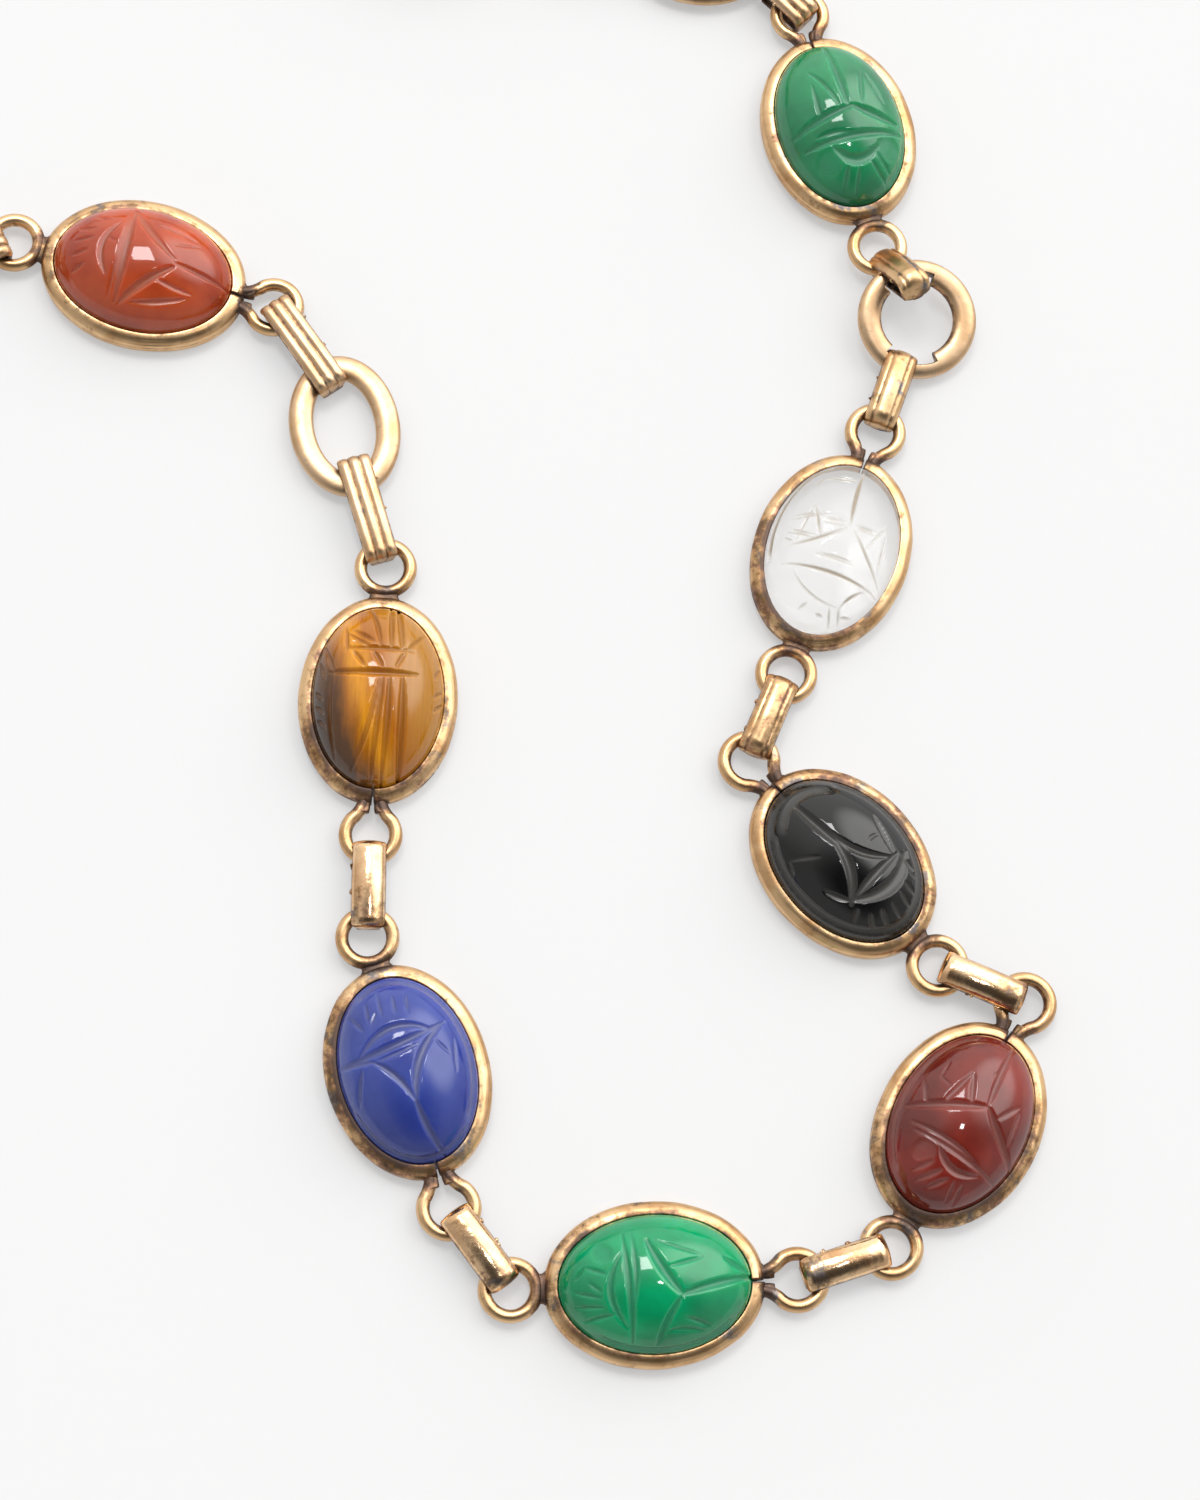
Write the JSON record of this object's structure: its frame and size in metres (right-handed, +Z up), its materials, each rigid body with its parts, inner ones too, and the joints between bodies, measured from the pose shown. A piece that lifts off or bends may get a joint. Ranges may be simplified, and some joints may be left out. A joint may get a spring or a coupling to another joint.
{
  "type": "scarab necklace",
  "caption": "Gold-coloured link necklace of oval carved scarab stones in open-backed settings, joined by folded strip connectors and heavy ring links, laid flat as a closed loop.",
  "frame": {"origin": "middle of the laid necklace's outline, on the surface it lies on", "axes": "+X to the viewer's right, +Y away from the viewer along the longest extent, +Z up from the surface"},
  "size_m": [0.1168, 0.1268, 0.0057],
  "materials": {
    "rose_gold": "polished, tarnished in the crevices",
    "pale_gold": "satin to polished",
    "carnelian": "polished",
    "tiger_eye": "polished",
    "blue_stone": "polished",
    "green_stone": "polished",
    "red_stone": "polished",
    "black_stone": "polished, worn grey in the carving",
    "rock_crystal": "polished",
    "dull_green_stone": "polished"
  },
  "bodies": {
    "root": {"clasp": "rose_gold", "connector_01_ribbed": "pale_gold", "connector_02_ribbed": "pale_gold", "connector_03_plain": "rose_gold", "connector_04_plain": "rose_gold", "connector_05_plain": "rose_gold", "connector_06_plain": "rose_gold", "connector_07_grooved": "rose_gold", "connector_08_grooved": "rose_gold", "connector_09_grooved": "rose_gold", "connector_10_ribbed": "pale_gold", "connector_11_ribbed": "pale_gold", "connector_12_plain": "rose_gold", "connector_13_plain": "rose_gold", "connector_14_plain": "rose_gold", "connector_15_plain": "rose_gold", "connector_16_plain": "rose_gold", "connector_17_ribbed": "pale_gold", "ring_oval_1": "pale_gold", "ring_oval_2": "pale_gold", "ring_round": "rose_gold", "setting_01": "rose_gold", "setting_02": "rose_gold", "setting_03": "rose_gold", "setting_04": "rose_gold", "setting_05": "rose_gold", "setting_06": "rose_gold", "setting_07": "rose_gold", "setting_08": "rose_gold", "setting_09": "rose_gold", "setting_10": "rose_gold", "setting_11": "rose_gold", "setting_12": "rose_gold", "setting_13": "rose_gold", "stone_01": "carnelian", "stone_02": "tiger_eye", "stone_03": "blue_stone", "stone_04": "green_stone", "stone_05": "red_stone", "stone_06": "black_stone", "stone_07": "rock_crystal", "stone_08": "dull_green_stone", "stone_09": "tiger_eye", "stone_10": "red_stone", "stone_11": "blue_stone", "stone_12": "carnelian", "stone_13": "black_stone"}
  },
  "joints": []
}
